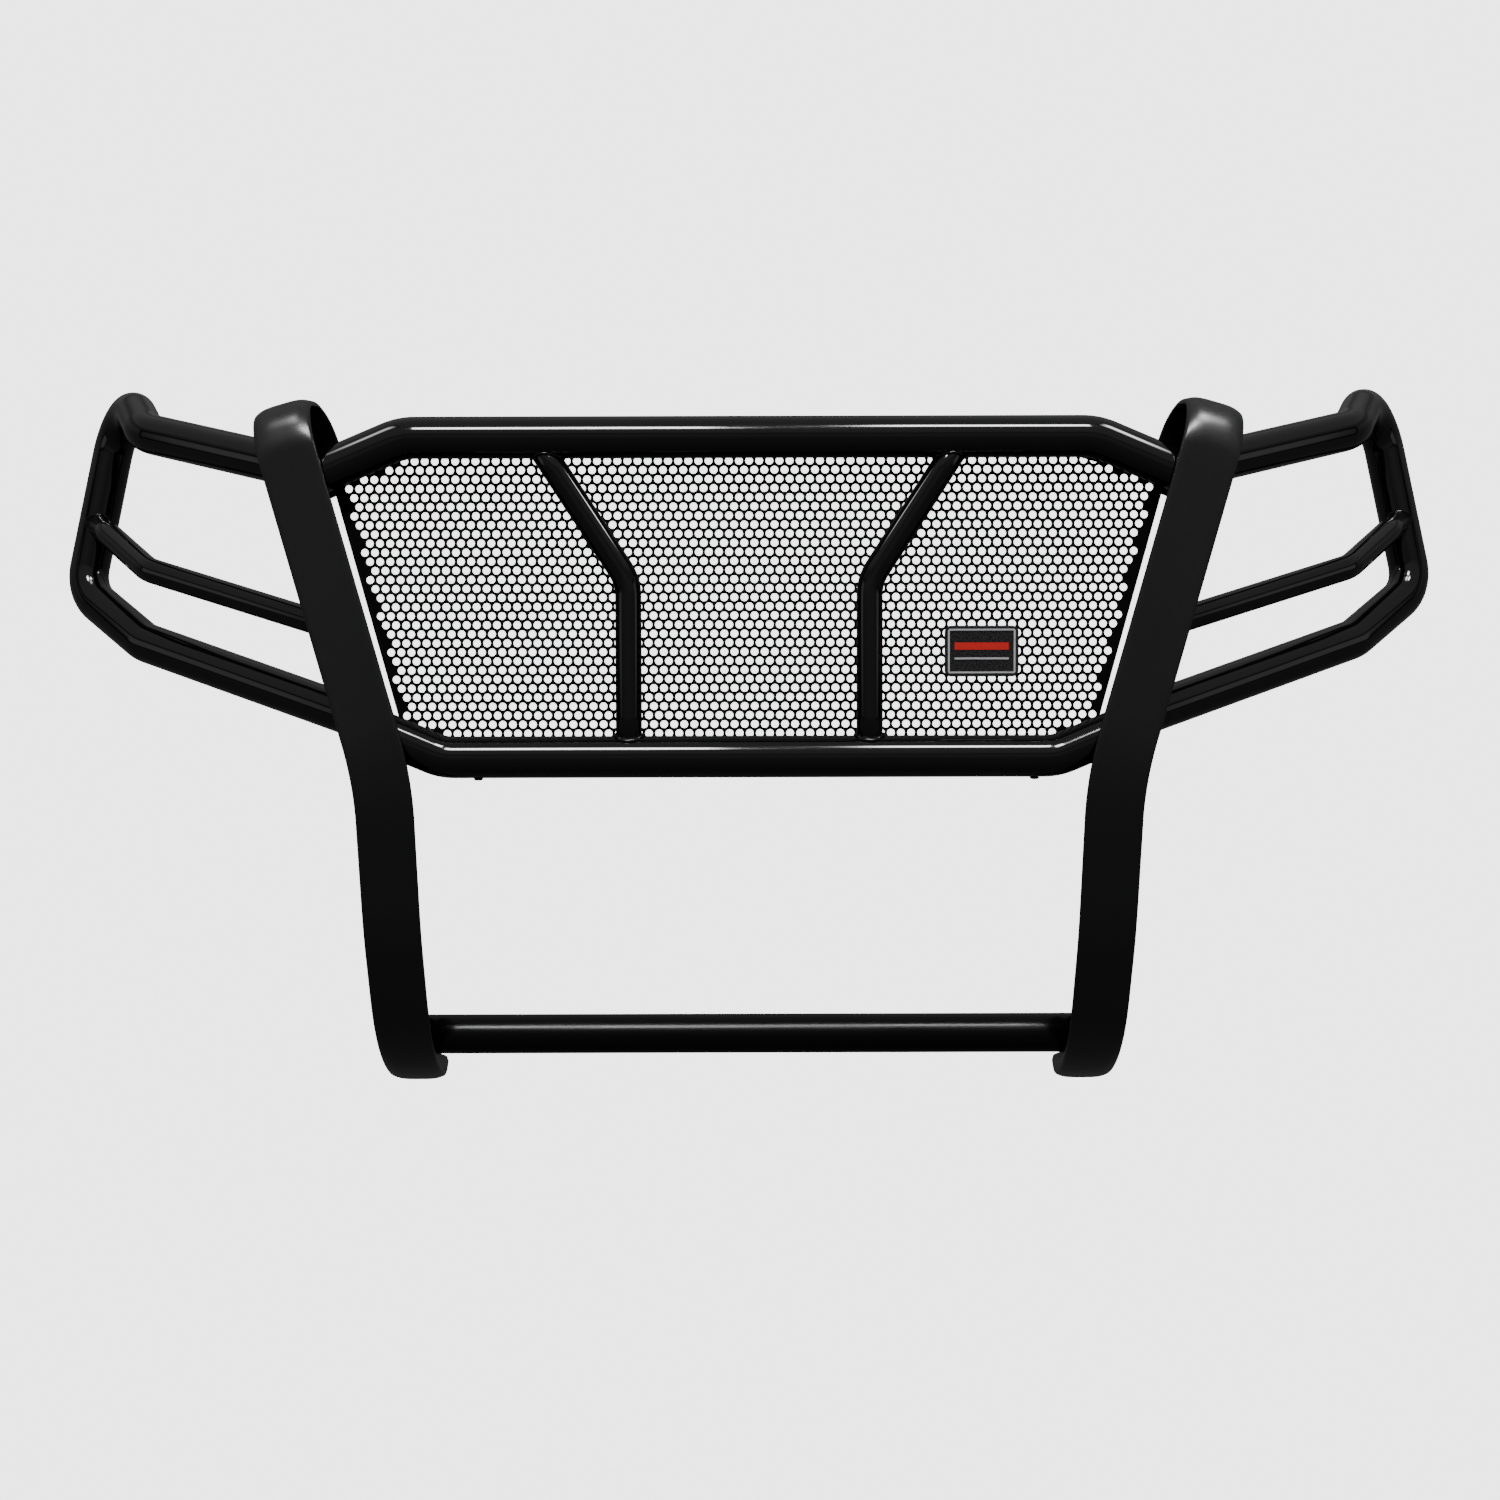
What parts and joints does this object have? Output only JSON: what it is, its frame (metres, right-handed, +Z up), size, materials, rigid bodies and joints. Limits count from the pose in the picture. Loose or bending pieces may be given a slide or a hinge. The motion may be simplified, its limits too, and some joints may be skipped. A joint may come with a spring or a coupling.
{
  "type": "front grille guard",
  "caption": "Black tubular front grille guard for a pickup: wrapped uprights, punched grille screen, wing loops round the headlamps and a bottom cross tube.",
  "frame": {"origin": "midway between the two frame brackets, at the middle of their bolt slots", "axes": "+X to the right as seen from in front of the truck, +Y back towards the truck, +Z up"},
  "size_m": [1.7768, 0.4172, 0.9196],
  "materials": {
    "gloss_black": "gloss",
    "satin_black": "satin",
    "flat_black": "matte",
    "zinc_steel": "zinc plated",
    "black_plastic": "matte",
    "badge_plastic": "gloss"
  },
  "bodies": {
    "root": {"right_upright_strap": "satin_black", "left_upright_strap": "satin_black", "right_upright_upper_web": "satin_black", "left_upright_upper_web": "satin_black", "right_upright_lower_web": "satin_black", "left_upright_lower_web": "satin_black", "top_cross_tube": "gloss_black", "lower_frame_tube": "gloss_black", "bottom_cross_tube": "gloss_black", "right_grille_bar": "gloss_black", "left_grille_bar": "gloss_black", "right_wing_tube": "gloss_black", "left_wing_tube": "gloss_black", "right_wing_middle_bar": "gloss_black", "left_wing_middle_bar": "gloss_black", "grille_screen": "flat_black", "badge": "badge_plastic", "badge_inner_push_nut": "zinc_steel", "badge_outer_push_nut": "zinc_steel", "right_drain_plug": "black_plastic", "left_drain_plug": "black_plastic", "right_frame_bracket": "satin_black", "left_frame_bracket": "satin_black", "right_upper_bracket_bolt": "zinc_steel", "left_upper_bracket_bolt": "zinc_steel", "right_upper_bracket_nut": "zinc_steel", "left_upper_bracket_nut": "zinc_steel", "right_lower_bracket_bolt": "zinc_steel", "left_lower_bracket_bolt": "zinc_steel", "right_lower_bracket_nut": "zinc_steel", "left_lower_bracket_nut": "zinc_steel"}
  },
  "joints": []
}
